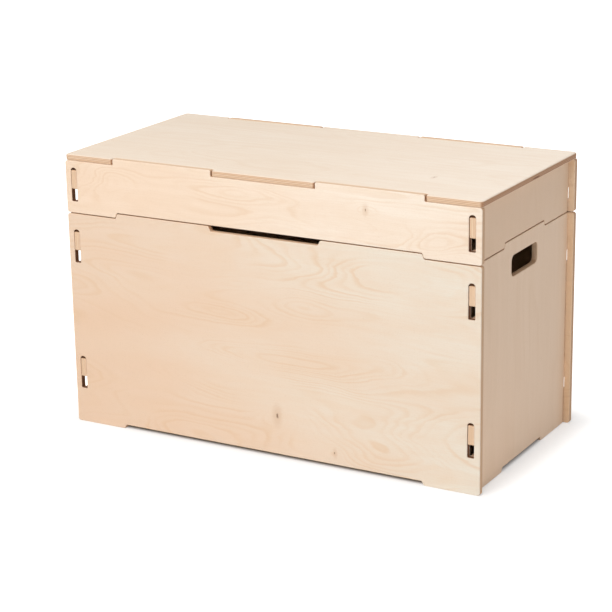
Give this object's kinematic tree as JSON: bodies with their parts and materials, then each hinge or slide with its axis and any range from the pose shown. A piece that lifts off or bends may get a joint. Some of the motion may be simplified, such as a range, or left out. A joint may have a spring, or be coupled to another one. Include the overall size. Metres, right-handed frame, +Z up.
{
  "type": "toy box",
  "caption": "Birch plywood toy chest with a hinged cap lid, hook-in-slot corners, a finger slot in the front rim, a handle hole in each end and two folding lid stays.",
  "frame": {"origin": "on the floor, in the middle of the chest's outline", "axes": "+X to the chest's right seen from the front, +Y to the back, +Z up"},
  "size_m": [0.86, 0.43, 0.532],
  "materials": {
    "birch_ply": "satin birch veneer faces, ply layers on the edges",
    "cleat_pine": "planed solid wood",
    "hinge_steel": "nickel-plated",
    "stay_steel": "zinc-plated",
    "zinc_screw": "zinc-plated",
    "pad_rubber": "matte"
  },
  "bodies": {
    "box": {"box_front_panel": "birch_ply", "box_back_panel": "birch_ply", "box_left_side": "birch_ply", "box_right_side": "birch_ply", "bottom_panel": "birch_ply", "bottom_cleat_front": "cleat_pine", "bottom_cleat_back": "cleat_pine", "bottom_cleat_left": "cleat_pine", "bottom_cleat_right": "cleat_pine", "bottom_cleat_screws": "zinc_screw", "lid_bumpers": "pad_rubber", "left_hinge_box_leaf": "hinge_steel", "left_hinge_pin": "hinge_steel", "right_hinge_box_leaf": "hinge_steel", "right_hinge_pin": "hinge_steel", "hinge_screws_box": "zinc_screw", "left_stay_box_plate": "stay_steel", "right_stay_box_plate": "stay_steel", "left_stay_box_rivet": "stay_steel", "right_stay_box_rivet": "stay_steel", "stay_screws_box": "zinc_screw"},
    "lid": {"lid_front_panel": "birch_ply", "lid_back_panel": "birch_ply", "lid_left_side": "birch_ply", "lid_right_side": "birch_ply", "lid_top": "birch_ply", "lid_cleat_left": "cleat_pine", "lid_cleat_right": "cleat_pine", "lid_cleat_screws": "zinc_screw", "left_hinge_lid_leaf": "hinge_steel", "right_hinge_lid_leaf": "hinge_steel", "hinge_screws_lid": "zinc_screw", "left_stay_lid_plate": "stay_steel", "right_stay_lid_plate": "stay_steel", "left_stay_lid_rivet": "stay_steel", "right_stay_lid_rivet": "stay_steel", "stay_screws_lid": "zinc_screw"},
    "left_stay_lower_arm": {"left_stay_lower_arm": "stay_steel", "left_stay_elbow_rivet": "stay_steel"},
    "left_stay_upper_arm": {"left_stay_upper_arm": "stay_steel"},
    "right_stay_lower_arm": {"right_stay_lower_arm": "stay_steel", "right_stay_elbow_rivet": "stay_steel"},
    "right_stay_upper_arm": {"right_stay_upper_arm": "stay_steel"}
  },
  "joints": [
    {"name": "lid_hinge", "type": "hinge", "parent": "box", "child": "lid", "pos_m": [0, 0.212, 0.428], "axis": [-1, 0, 0], "range_deg": [0, 85]},
    {"name": "left_stay_lower", "type": "hinge", "parent": "box", "child": "left_stay_lower_arm", "pos_m": [-0.4025, 0.06334, 0.408], "axis": [-1, 0, 0], "range_deg": [0, 85]},
    {"name": "left_stay_elbow", "type": "hinge", "parent": "left_stay_lower_arm", "child": "left_stay_upper_arm", "pos_m": [-0.4005, -0.07773, 0.459], "axis": [-1, 0, 0], "range_deg": [-85, 0]},
    {"name": "right_stay_lower", "type": "hinge", "parent": "box", "child": "right_stay_lower_arm", "pos_m": [0.4025, 0.06334, 0.408], "axis": [-1, 0, 0], "range_deg": [0, 85]},
    {"name": "right_stay_elbow", "type": "hinge", "parent": "right_stay_lower_arm", "child": "right_stay_upper_arm", "pos_m": [0.4005, -0.07773, 0.459], "axis": [-1, 0, 0], "range_deg": [-85, 0]}
  ],
  "couplings": [
    {"joint": "left_stay_lower", "follows": "lid_hinge", "ratio": 1},
    {"joint": "left_stay_elbow", "follows": "lid_hinge", "ratio": -1},
    {"joint": "right_stay_lower", "follows": "lid_hinge", "ratio": 1},
    {"joint": "right_stay_elbow", "follows": "lid_hinge", "ratio": -1}
  ]
}
